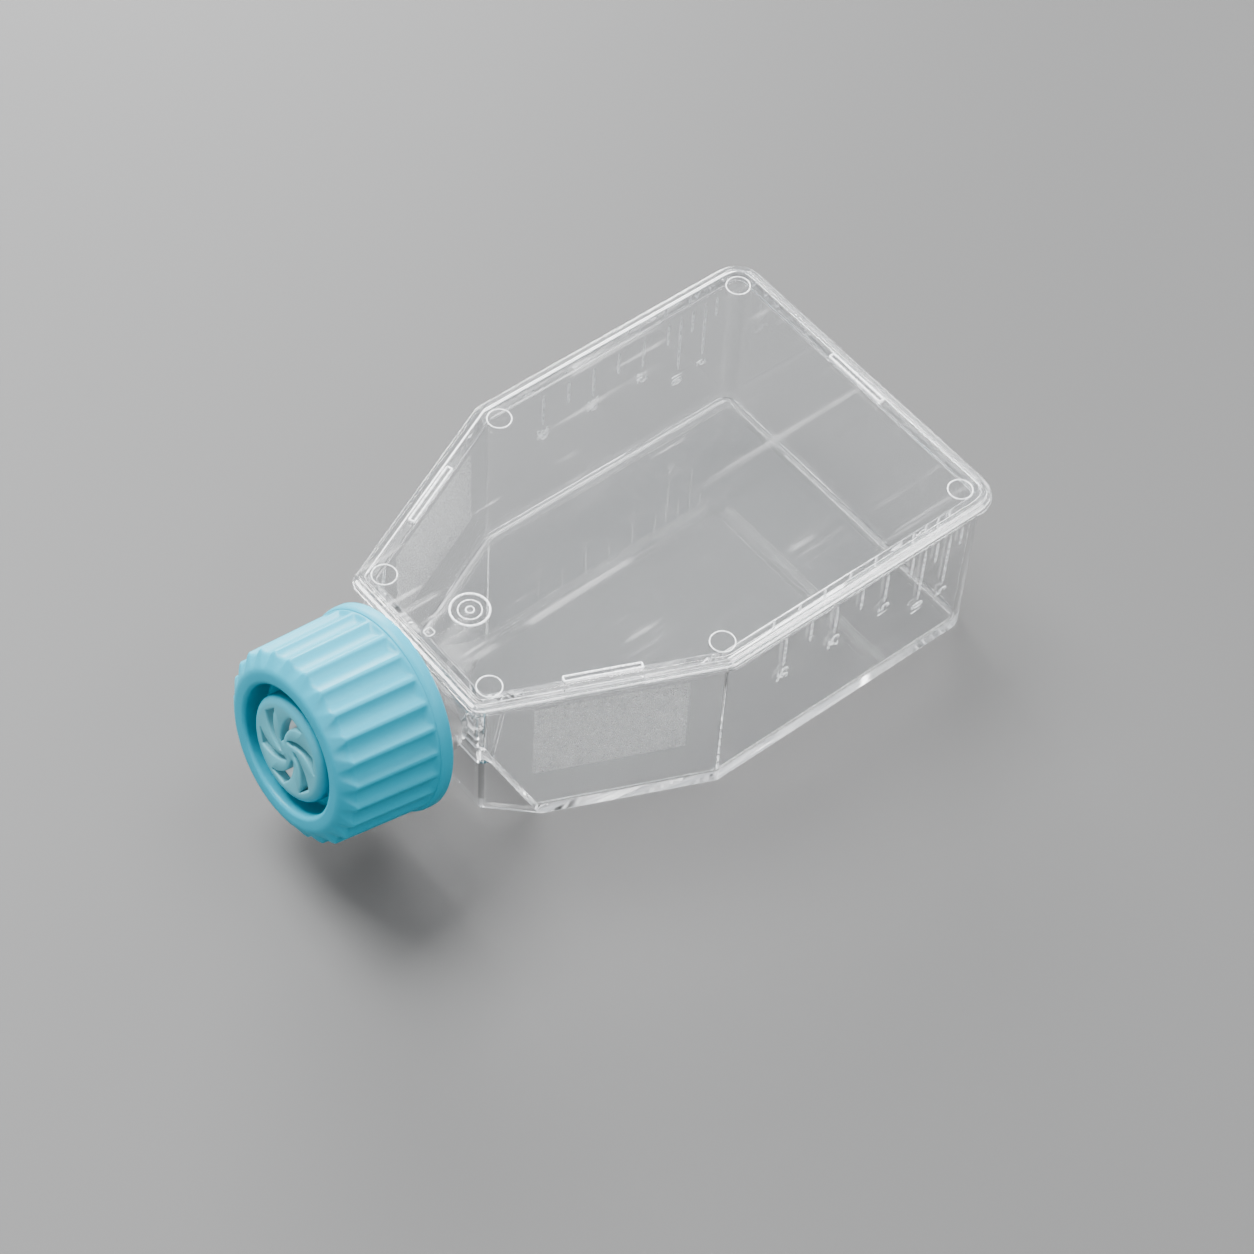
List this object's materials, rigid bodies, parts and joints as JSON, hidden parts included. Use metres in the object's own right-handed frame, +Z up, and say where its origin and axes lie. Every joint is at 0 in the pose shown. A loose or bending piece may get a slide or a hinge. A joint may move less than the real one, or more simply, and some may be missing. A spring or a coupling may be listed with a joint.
{
  "type": "cell culture flask",
  "caption": "Small clear cell culture flask with a canted neck, a welded top plate and a light blue vented screw cap.",
  "frame": {"origin": "point on the flask's underside, halfway between the planes of its front and back walls and midway between its long walls", "axes": "+Z up from the growth surface that the flask rests on, -X towards the neck and cap, +Y towards the left long wall as seen from behind"},
  "size_m": [0.0918, 0.0504, 0.0313],
  "materials": {
    "clear_polystyrene": "clear, polished, crystal polystyrene",
    "cap_polyethylene": "satin moulded polyethylene, slightly translucent",
    "membrane_ptfe": "matt white porous film"
  },
  "bodies": {
    "flask": {"flask_body": "clear_polystyrene", "top_plate": "clear_polystyrene"},
    "carrier": {"vent_membrane": "membrane_ptfe"},
    "cap": {"cap": "cap_polyethylene"}
  },
  "joints": [
    {"name": "cap_rise", "type": "slide", "parent": "flask", "child": "carrier", "axis": [-0.9806, 0, 0.1959], "range_m": [0, 0.0083]},
    {"name": "cap_turn", "type": "hinge", "parent": "carrier", "child": "cap", "pos_m": [-0.03965, 0, 0.0167], "axis": [-0.9806, 0, 0.1959], "range_deg": [0, 990]}
  ],
  "couplings": [
    {"joint": "cap_rise", "follows": "cap_turn", "m_per_rad": 0.00047746}
  ]
}
